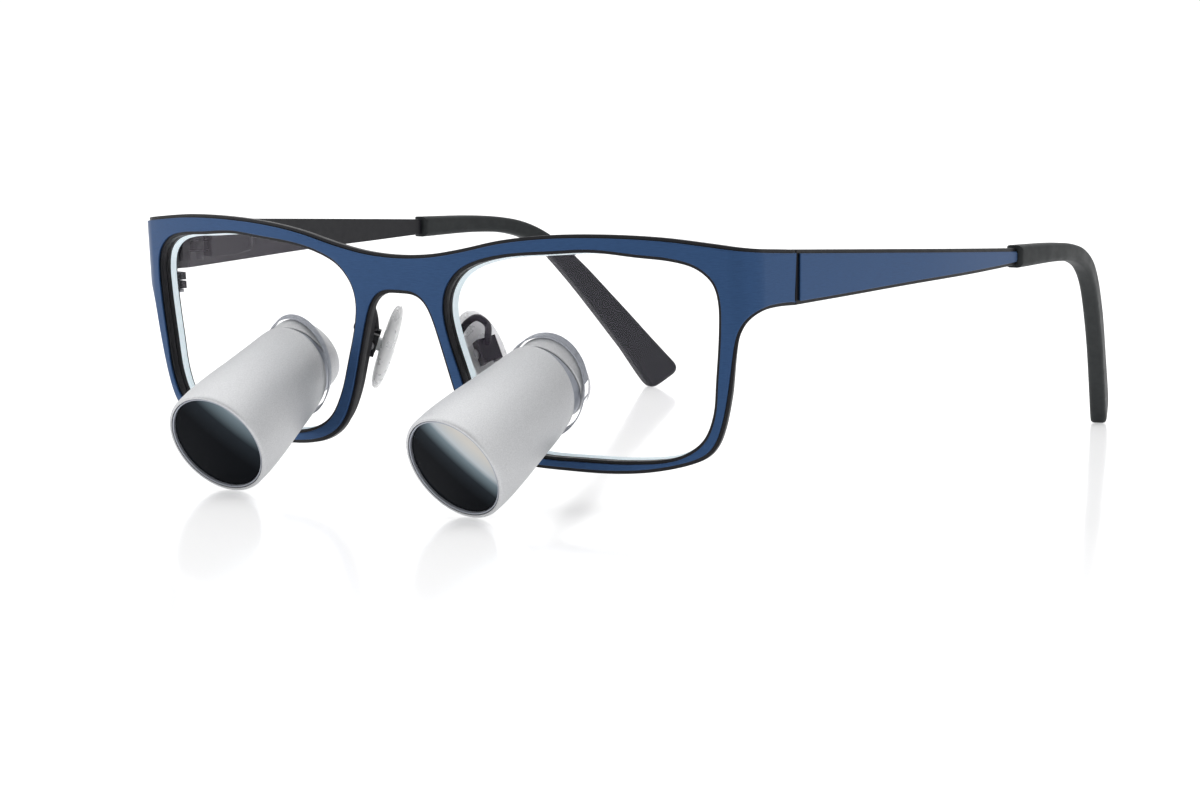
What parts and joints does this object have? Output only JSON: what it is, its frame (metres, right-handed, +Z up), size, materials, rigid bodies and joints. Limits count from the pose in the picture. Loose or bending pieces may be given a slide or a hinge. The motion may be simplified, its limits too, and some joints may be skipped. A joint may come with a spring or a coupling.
{
  "type": "dental loupes",
  "caption": "Full-rim metal spectacle frame with a telescope set through each carrier lens, adjustable nose pads and folding sprung temples.",
  "frame": {"origin": "middle of the footprint of the opened loupes, on the surface they stand on", "axes": "+X to the wearer's left, +Y from the front back towards the temple tips, +Z up"},
  "size_m": [0.1416, 0.1814, 0.0464],
  "materials": {
    "blue_metal": "satin",
    "black_metal": "satin",
    "steel": "satin",
    "satin_aluminium": "bead-blasted",
    "polished_aluminium": "polished",
    "black_anodised": "matt",
    "black_plastic": "matt",
    "clear_lens": "polished, anti-reflective coating",
    "coated_glass": "polished, anti-reflective coating",
    "clear_silicone": "satin",
    "clear_resin": "glossy",
    "pad_core": "satin"
  },
  "bodies": {
    "front": {"front_sheet": "black_metal", "front_facing": "blue_metal", "eyewire_left": "black_metal", "eyewire_right": "black_metal", "eyewire_screw_left": "steel", "eyewire_screw_right": "steel", "carrier_lens_left": "clear_lens", "carrier_lens_right": "clear_lens", "bond_collar_left": "clear_resin", "bond_collar_right": "clear_resin", "pad_arm_left": "black_metal", "pad_arm_right": "black_metal", "pad_screw_left": "steel", "pad_screw_right": "steel", "hinge_front_left": "black_metal", "hinge_front_right": "black_metal", "hinge_screw_left": "steel", "hinge_screw_right": "steel", "barrel_shell_left": "satin_aluminium", "barrel_shell_right": "satin_aluminium", "objective_bezel_left": "polished_aluminium", "objective_bezel_right": "polished_aluminium", "objective_crown_left": "coated_glass", "objective_crown_right": "coated_glass", "objective_flint_left": "coated_glass", "objective_flint_right": "coated_glass", "baffle_tube_left": "black_anodised", "baffle_tube_right": "black_anodised", "adjusting_ring_left": "polished_aluminium", "adjusting_ring_right": "polished_aluminium", "eyepiece_ring_left": "satin_aluminium", "eyepiece_ring_right": "satin_aluminium", "eyepiece_lens_left": "coated_glass", "eyepiece_lens_right": "coated_glass"},
    "hinge_slide_left": {"hinge_slider_left": "black_metal", "hinge_spring_left": "steel"},
    "temple_left": {"temple_sheet_left": "black_metal", "temple_facing_left": "blue_metal", "temple_tip_left": "black_plastic", "hinge_housing_left": "black_metal"},
    "pad_left": {"nose_pad_left": "clear_silicone", "pad_core_left": "pad_core"},
    "hinge_slide_right": {"hinge_slider_right": "black_metal", "hinge_spring_right": "steel"},
    "temple_right": {"temple_sheet_right": "black_metal", "temple_facing_right": "blue_metal", "temple_tip_right": "black_plastic", "hinge_housing_right": "black_metal"},
    "pad_right": {"nose_pad_right": "clear_silicone", "pad_core_right": "pad_core"}
  },
  "joints": [
    {"name": "left_fold", "type": "hinge", "parent": "front", "child": "hinge_slide_left", "pos_m": [0.06505, -0.04811, 0.03902], "axis": [0, 0, 1], "range_deg": [0, 86]},
    {"name": "right_fold", "type": "hinge", "parent": "front", "child": "hinge_slide_right", "pos_m": [-0.06505, -0.04811, 0.03902], "axis": [0, 0, -1], "range_deg": [0, 75]},
    {"name": "left_spring_travel", "type": "slide", "parent": "hinge_slide_left", "child": "temple_left", "axis": [0, 1, 0], "range_m": [0, 0.0008], "stiffness_N_per_m": 1200, "springref_m": -0.0006, "deforming": ["hinge_spring_left"]},
    {"name": "right_spring_travel", "type": "slide", "parent": "hinge_slide_right", "child": "temple_right", "axis": [0, 1, 0], "range_m": [0, 0.0008], "stiffness_N_per_m": 1200, "springref_m": -0.0006, "deforming": ["hinge_spring_right"]},
    {"name": "left_pad_rock", "type": "hinge", "parent": "front", "child": "pad_left", "pos_m": [0.01308, -0.06004, 0.02497], "axis": [-0.5033, -0.8285, -0.2455], "range_deg": [-10, 10]},
    {"name": "right_pad_rock", "type": "hinge", "parent": "front", "child": "pad_right", "pos_m": [-0.01308, -0.06004, 0.02497], "axis": [-0.5033, 0.8285, 0.2455], "range_deg": [-10, 10]}
  ]
}
